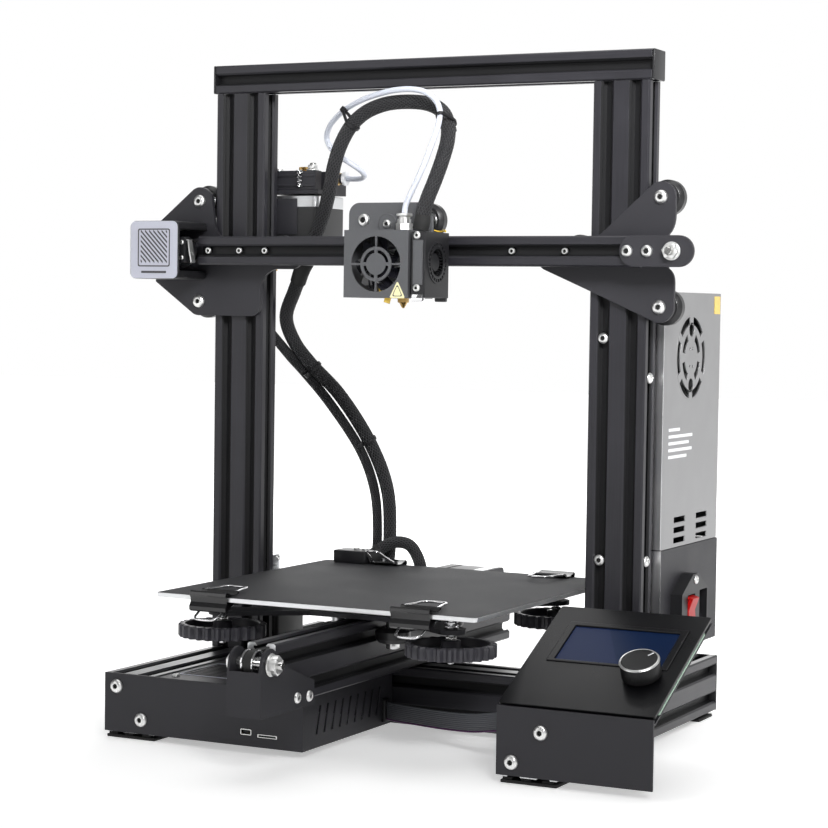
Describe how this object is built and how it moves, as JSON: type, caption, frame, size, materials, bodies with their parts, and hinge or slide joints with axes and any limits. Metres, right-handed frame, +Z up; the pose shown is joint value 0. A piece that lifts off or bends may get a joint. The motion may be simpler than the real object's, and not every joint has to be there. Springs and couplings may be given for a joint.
{
  "type": "fdm printer",
  "caption": "Desktop filament printer: slotted aluminium frame, bed sliding in Y, gantry rising in Z and print head sliding in X, with control panel, power supply and bowden feed.",
  "frame": {"origin": "middle of the bounding box on the surface that the feet stand on", "axes": "+Z up, +Y to the rear, so the control panel and the print head face -Y; +X to the right seen from the front"},
  "size_m": [0.4422, 0.4052, 0.4643],
  "materials": {
    "black_anodised": "satin anodised",
    "black_powder_coat": "fine powder coat",
    "motor_black": "black case, bare end caps",
    "bare_steel": "bright",
    "case_grey": "zinc grey",
    "shroud_grey": "satin grey",
    "black_plastic": "moulded",
    "wheel_black": "machined",
    "black_rubber": "matt",
    "bare_aluminium": "rolled plate",
    "brass": "machined",
    "white_tube": "translucent",
    "braided_sleeve": "braided",
    "ribbon_grey": "flat ribbon",
    "switch_red": "moulded",
    "thumbwheel_plastic": "moulded",
    "screen_glossy": "glossy"
  },
  "bodies": {
    "frame": {"rail_left": "black_anodised", "rail_right": "black_anodised", "cross_beam": "black_anodised", "y_rail": "black_anodised", "upright_left": "black_anodised", "upright_right": "black_anodised", "top_bar": "black_anodised", "foot_front_left": "black_rubber", "foot_front_right": "black_rubber", "foot_rear_left": "black_rubber", "foot_rear_right": "black_rubber", "electronics_box": "black_powder_coat", "electronics_cover": "black_powder_coat", "z_motor": "motor_black", "y_motor": "motor_black", "y_idler_bracket": "black_powder_coat", "power_supply_case": "case_grey", "power_supply_cover": "black_plastic", "screen_bracket": "black_powder_coat", "screen_panel": "screen_glossy", "ribbon_cable": "ribbon_grey", "gantry_cable": "braided_sleeve", "bed_cable": "braided_sleeve"},
    "gantry": {"gantry_plate_left": "black_powder_coat", "gantry_plate_right": "black_powder_coat", "x_beam": "black_anodised", "x_motor": "motor_black", "x_belt": "black_rubber", "x_switch_housing": "black_plastic", "x_tensioner": "black_powder_coat", "extruder_motor": "motor_black", "extruder_body": "black_powder_coat", "feed_tube": "white_tube", "head_cable": "braided_sleeve"},
    "carriage": {"carriage_plate": "shroud_grey", "fan_shroud": "shroud_grey", "part_blower": "black_plastic", "hotend": "brass"},
    "bed": {"bed_plate": "bare_aluminium", "bed_carriage": "black_powder_coat"},
    "lead_screw": {"lead_screw": "bare_steel"},
    "encoder_shaft": {"encoder_shaft": "bare_steel"},
    "encoder_knob": {"encoder_knob": "black_plastic"},
    "rocker_switch": {"rocker_switch": "switch_red"},
    "power_supply_fan": {"power_supply_fan": "black_plastic"},
    "extruder_lever": {"extruder_lever": "black_powder_coat"},
    "gantry_wheel_left_top": {"gantry_wheel_left_top": "wheel_black"},
    "gantry_wheel_left_low": {"gantry_wheel_left_low": "wheel_black"},
    "gantry_wheel_left_inner": {"gantry_wheel_left_inner": "wheel_black"},
    "gantry_wheel_right_top": {"gantry_wheel_right_top": "wheel_black"},
    "gantry_wheel_right_low": {"gantry_wheel_right_low": "wheel_black"},
    "gantry_wheel_right_inner": {"gantry_wheel_right_inner": "wheel_black"},
    "hotend_fan": {"hotend_fan": "black_plastic"},
    "head_wheel_left": {"head_wheel_left": "wheel_black"},
    "head_wheel_right": {"head_wheel_right": "wheel_black"},
    "head_wheel_low": {"head_wheel_low": "wheel_black"},
    "levelling_wheel_front_left": {"levelling_wheel_front_left": "thumbwheel_plastic"},
    "levelling_wheel_front_right": {"levelling_wheel_front_right": "thumbwheel_plastic"},
    "levelling_wheel_rear_left": {"levelling_wheel_rear_left": "thumbwheel_plastic"},
    "levelling_wheel_rear_right": {"levelling_wheel_rear_right": "thumbwheel_plastic"}
  },
  "joints": [
    {"name": "z_slide", "type": "slide", "parent": "frame", "child": "gantry", "axis": [0, 0, 1], "range_m": [-0.189, 0.06], "deforming": ["gantry_cable"]},
    {"name": "x_slide", "type": "slide", "parent": "gantry", "child": "carriage", "axis": [1, 0, 0], "range_m": [-0.126, 0.094], "deforming": ["feed_tube", "head_cable"]},
    {"name": "y_slide", "type": "slide", "parent": "frame", "child": "bed", "axis": [0, 1, 0], "range_m": [-0.12, 0.0865], "deforming": ["bed_cable"]},
    {"name": "lead_screw_spin", "type": "hinge", "parent": "frame", "child": "lead_screw", "pos_m": [-0.15115, 0.06003, 0.204], "axis": [0, 0, 1], "continuous": true},
    {"name": "encoder_push", "type": "slide", "parent": "frame", "child": "encoder_shaft", "axis": [0, 0.4378, -0.8991], "range_m": [0, 0.0012], "stiffness_N_per_m": 900, "springref_m": -0.0006},
    {"name": "encoder_turn", "type": "hinge", "parent": "encoder_shaft", "child": "encoder_knob", "pos_m": [0.19935, -0.08216, 0.06733], "axis": [0, -0.4378, 0.8991], "continuous": true},
    {"name": "power_switch", "type": "hinge", "parent": "frame", "child": "rocker_switch", "pos_m": [0.17185, 0.07942, 0.089], "axis": [0, -1, 0], "range_deg": [0, 16]},
    {"name": "power_supply_fan_spin", "type": "hinge", "parent": "frame", "child": "power_supply_fan", "pos_m": [0.15085, 0.09442, 0.261], "axis": [1, 0, 0], "continuous": true},
    {"name": "extruder_lever_hinge", "type": "hinge", "parent": "gantry", "child": "extruder_lever", "pos_m": [-0.13815, 0.04843, 0.382], "axis": [0, 0, -1], "range_deg": [0, 8], "stiffness_Nm_per_rad": 1.5, "springref_deg": -5.73},
    {"name": "hotend_fan_spin", "type": "hinge", "parent": "carriage", "child": "hotend_fan", "pos_m": [-0.00655, -0.04358, 0.321], "axis": [0, 1, 0], "continuous": true},
    {"name": "gantry_wheel_left_top_spin", "type": "hinge", "parent": "gantry", "child": "gantry_wheel_left_top", "pos_m": [-0.1839, 0.02842, 0.367], "axis": [0, 1, 0], "continuous": true},
    {"name": "gantry_wheel_left_low_spin", "type": "hinge", "parent": "gantry", "child": "gantry_wheel_left_low", "pos_m": [-0.1839, 0.02842, 0.295], "axis": [0, 1, 0], "continuous": true},
    {"name": "gantry_wheel_left_inner_spin", "type": "hinge", "parent": "gantry", "child": "gantry_wheel_left_inner", "pos_m": [-0.1224, 0.02842, 0.331], "axis": [0, 1, 0], "continuous": true},
    {"name": "gantry_wheel_right_top_spin", "type": "hinge", "parent": "gantry", "child": "gantry_wheel_right_top", "pos_m": [0.1696, 0.02842, 0.367], "axis": [0, 1, 0], "continuous": true},
    {"name": "gantry_wheel_right_low_spin", "type": "hinge", "parent": "gantry", "child": "gantry_wheel_right_low", "pos_m": [0.1696, 0.02842, 0.295], "axis": [0, 1, 0], "continuous": true},
    {"name": "gantry_wheel_right_inner_spin", "type": "hinge", "parent": "gantry", "child": "gantry_wheel_right_inner", "pos_m": [0.1081, 0.02842, 0.331], "axis": [0, 1, 0], "continuous": true},
    {"name": "head_wheel_left_spin", "type": "hinge", "parent": "carriage", "child": "head_wheel_left", "pos_m": [-0.03465, 0.00373, 0.35175], "axis": [0, 1, 0], "continuous": true},
    {"name": "head_wheel_right_spin", "type": "hinge", "parent": "carriage", "child": "head_wheel_right", "pos_m": [0.00695, 0.00373, 0.35175], "axis": [0, 1, 0], "continuous": true},
    {"name": "head_wheel_low_spin", "type": "hinge", "parent": "carriage", "child": "head_wheel_low", "pos_m": [-0.01385, 0.00373, 0.31025], "axis": [0, 1, 0], "continuous": true},
    {"name": "levelling_wheel_front_left_turn", "type": "hinge", "parent": "bed", "child": "levelling_wheel_front_left", "pos_m": [-0.09815, -0.08858, 0.075], "axis": [0, 0, 1], "continuous": true},
    {"name": "levelling_wheel_front_right_turn", "type": "hinge", "parent": "bed", "child": "levelling_wheel_front_right", "pos_m": [0.07185, -0.08858, 0.075], "axis": [0, 0, 1], "continuous": true},
    {"name": "levelling_wheel_rear_left_turn", "type": "hinge", "parent": "bed", "child": "levelling_wheel_rear_left", "pos_m": [-0.09815, 0.08142, 0.075], "axis": [0, 0, 1], "continuous": true},
    {"name": "levelling_wheel_rear_right_turn", "type": "hinge", "parent": "bed", "child": "levelling_wheel_rear_right", "pos_m": [0.07185, 0.08142, 0.075], "axis": [0, 0, 1], "continuous": true}
  ],
  "couplings": [
    {"joint": "lead_screw_spin", "follows": "z_slide", "rad_per_m": -785.4},
    {"joint": "gantry_wheel_left_top_spin", "follows": "z_slide", "rad_per_m": 93.023},
    {"joint": "gantry_wheel_left_low_spin", "follows": "z_slide", "rad_per_m": 93.023},
    {"joint": "gantry_wheel_left_inner_spin", "follows": "z_slide", "rad_per_m": -93.023},
    {"joint": "gantry_wheel_right_top_spin", "follows": "z_slide", "rad_per_m": -93.023},
    {"joint": "gantry_wheel_right_low_spin", "follows": "z_slide", "rad_per_m": -93.023},
    {"joint": "gantry_wheel_right_inner_spin", "follows": "z_slide", "rad_per_m": 93.023},
    {"joint": "head_wheel_left_spin", "follows": "x_slide", "rad_per_m": 93.023},
    {"joint": "head_wheel_right_spin", "follows": "x_slide", "rad_per_m": 93.023},
    {"joint": "head_wheel_low_spin", "follows": "x_slide", "rad_per_m": -93.023}
  ]
}
